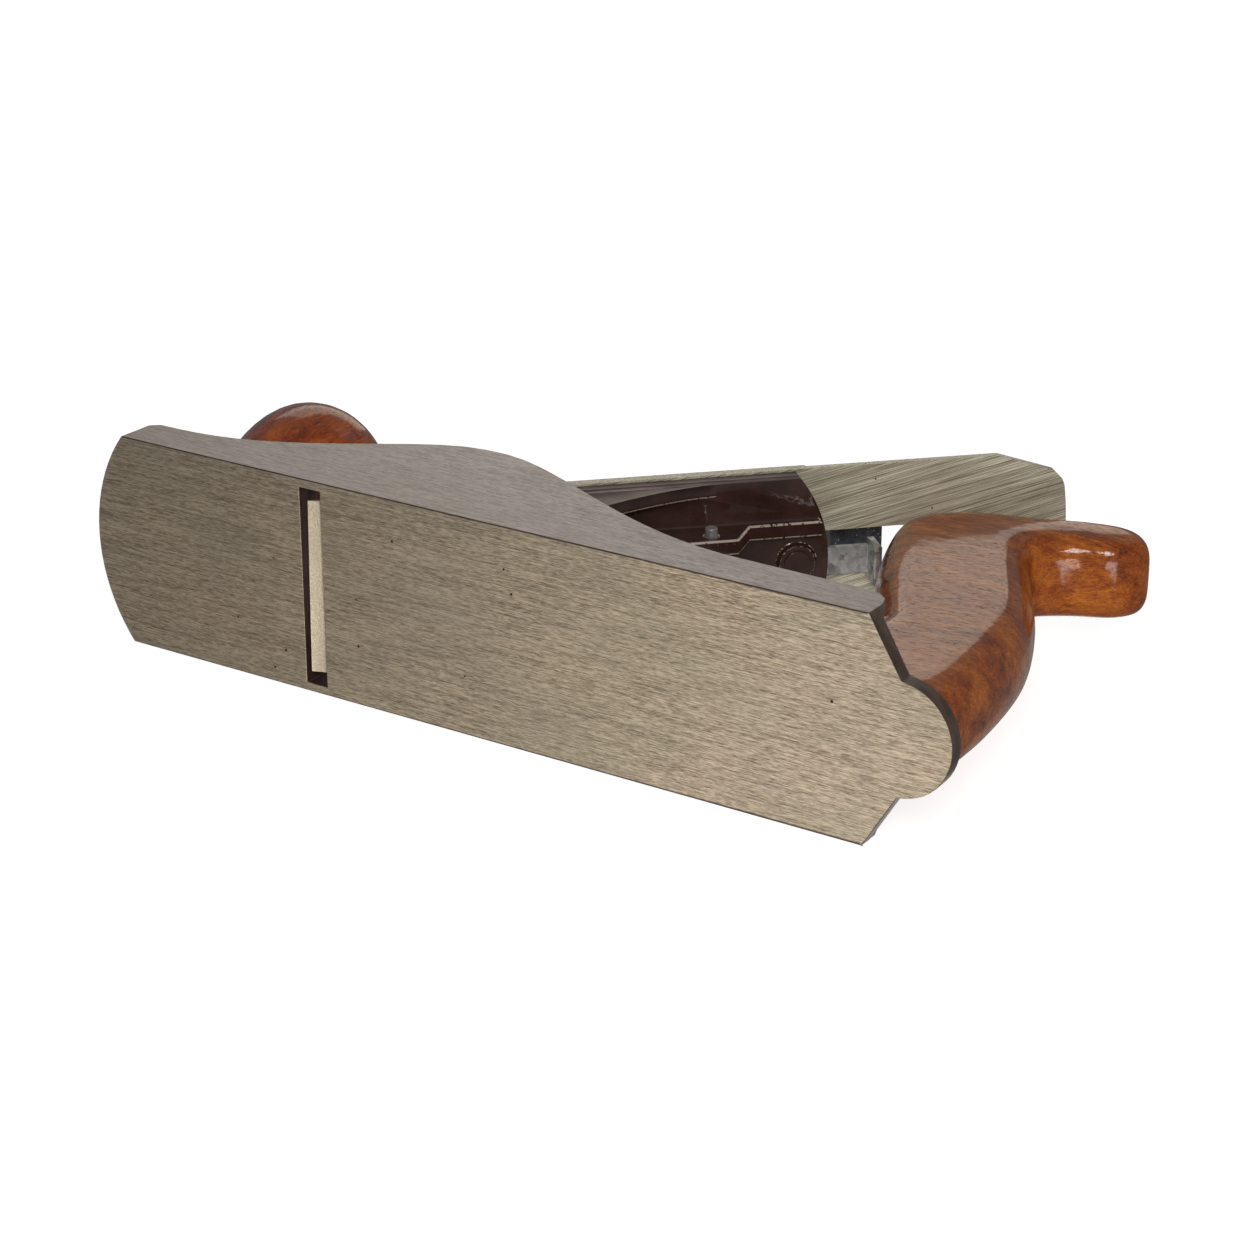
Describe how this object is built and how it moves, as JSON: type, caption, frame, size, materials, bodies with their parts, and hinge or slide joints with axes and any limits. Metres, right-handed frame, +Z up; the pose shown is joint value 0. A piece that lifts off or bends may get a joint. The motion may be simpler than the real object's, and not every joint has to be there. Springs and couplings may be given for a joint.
{
  "type": "smoothing plane",
  "caption": "Metal smoothing plane with a cast body, sliding frog, double iron, lever cap, screw depth and lateral adjusters, and wooden knob and tote.",
  "frame": {"origin": "on the sole, under the middle of the plane's length and width", "axes": "+Y from toe to heel, +X to the left cheek seen from the heel end, +Z up from the sole"},
  "size_m": [0.056, 0.2461, 0.1375],
  "materials": {
    "ground_iron": "ground grey iron with fine lengthwise lines, maroon enamel inside",
    "enamel": "dark maroon gloss enamel over a cast surface",
    "steel": "turned steel, a little dull",
    "blade_steel": "ground tool steel with slanting wheel marks",
    "cap_steel": "fine ground steel",
    "zinc": "bright zinc plating",
    "nickel": "nickel plate, worn to a satin",
    "brass": "tarnished turned brass",
    "hardwood": "reddish hardwood under glossy varnish"
  },
  "bodies": {
    "body": {"sole_body": "ground_iron", "front_knob": "hardwood", "knob_stud": "steel", "knob_nut": "brass", "tote": "hardwood", "tote_rod": "steel", "tote_nut": "brass", "frog_screws": "steel", "frog_washers": "zinc"},
    "frog_body": {"frog": "enamel", "frog_clip": "zinc", "frog_clip_screw": "steel", "depth_stud": "steel", "yoke_pin": "zinc", "lateral_rivet": "steel", "lever_cap_screw": "steel"},
    "adjust_screw": {"frog_adjust_screw": "steel"},
    "nut": {"depth_nut": "brass"},
    "yoke_body": {"yoke": "steel"},
    "lateral": {"lateral_lever": "zinc", "lateral_roller": "zinc"},
    "cap": {"lever_cap": "nickel", "cap_spring": "steel", "spring_rivet": "steel", "cam_pin": "steel"},
    "cam": {"cam_lever": "nickel"},
    "iron": {"cutting_iron": "blade_steel", "cap_iron": "cap_steel", "cap_iron_screw": "steel"}
  },
  "joints": [
    {"name": "frog_slide", "type": "slide", "parent": "body", "child": "frog_body", "axis": [0, -1, 0], "range_m": [-0.0005, 0.0012]},
    {"name": "frog_screw_turn", "type": "hinge", "parent": "frog_body", "child": "adjust_screw", "pos_m": [0, 0, 0.008], "axis": [0, 1, 0], "range_deg": [-600, 600]},
    {"name": "depth_nut_feed", "type": "slide", "parent": "frog_body", "child": "nut", "axis": [0, 1, 0], "range_m": [-0.0035, 0.0025]},
    {"name": "yoke_swing", "type": "hinge", "parent": "frog_body", "child": "yoke_body", "pos_m": [0, 0.02548, 0.05855], "axis": [1, 0, 0], "range_deg": [-8, 6]},
    {"name": "lateral_swing", "type": "hinge", "parent": "frog_body", "child": "lateral", "pos_m": [0, 0.03305, 0.0845], "axis": [0, -0.7071, 0.7071], "range_deg": [-8, 8]},
    {"name": "iron_tilt", "type": "hinge", "parent": "frog_body", "child": "cap", "pos_m": [0, -0.01044, 0.04101], "axis": [0, -0.7071, 0.7071], "range_deg": [-2, 2]},
    {"name": "cam_lift", "type": "hinge", "parent": "cap", "child": "cam", "pos_m": [0, 0.03022, 0.09793], "axis": [1, 0, 0], "range_deg": [0, 100]},
    {"name": "iron_feed", "type": "slide", "parent": "cap", "child": "iron", "axis": [0, -0.7071, -0.7071], "range_m": [-0.002, 0.0015]}
  ],
  "couplings": [
    {"joint": "frog_screw_turn", "follows": "frog_slide", "rad_per_m": -7854},
    {"joint": "yoke_swing", "follows": "depth_nut_feed", "rad_per_m": 35.03},
    {"joint": "iron_feed", "follows": "depth_nut_feed", "ratio": 0.539},
    {"joint": "iron_tilt", "follows": "lateral_swing", "ratio": -0.1827}
  ]
}
